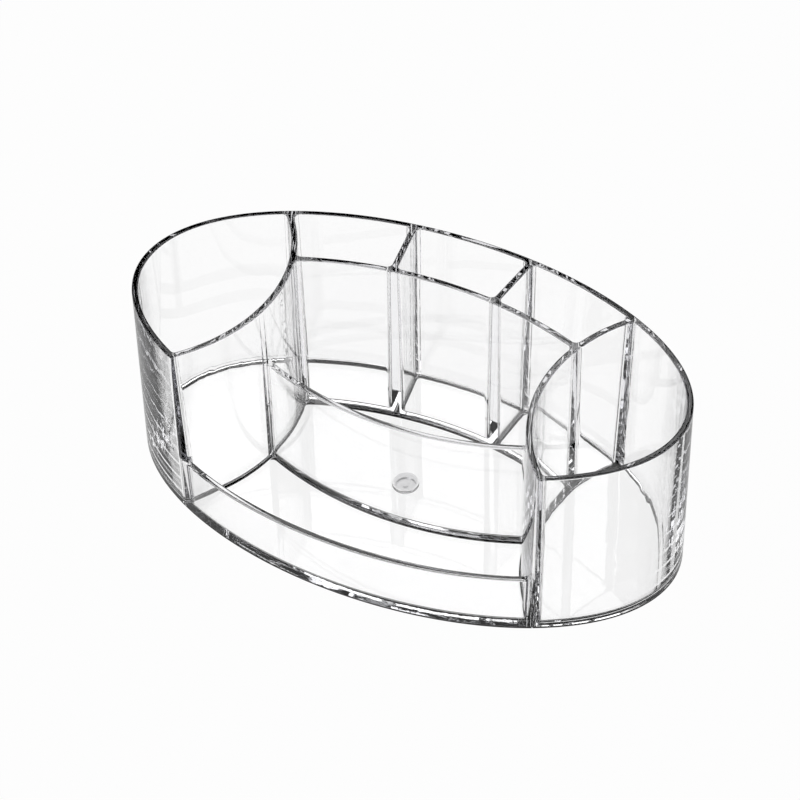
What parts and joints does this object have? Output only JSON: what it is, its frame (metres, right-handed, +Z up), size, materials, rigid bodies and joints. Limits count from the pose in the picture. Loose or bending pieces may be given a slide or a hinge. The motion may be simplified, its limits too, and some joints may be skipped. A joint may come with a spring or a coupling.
{
  "type": "acrylic makeup organizer",
  "caption": "Oval clear acrylic tabletop organizer, open at the top, with curved upright panels forming end cups, rear slots, a middle well and a low front tray.",
  "frame": {"origin": "centre of the underside, on the surface the organizer stands on", "axes": "+Z up, +X along the long axis of the oval, -Y towards the low front panel"},
  "size_m": [0.226, 0.1256, 0.0789],
  "materials": {
    "clear_acrylic": "clear, polished"
  },
  "bodies": {
    "root": {"base_plate": "clear_acrylic", "outer_wall": "clear_acrylic", "front_wall": "clear_acrylic", "tray_partition": "clear_acrylic", "rear_partition": "clear_acrylic", "left_end_partition": "clear_acrylic", "right_end_partition": "clear_acrylic", "left_divider": "clear_acrylic", "right_divider": "clear_acrylic"}
  },
  "joints": []
}
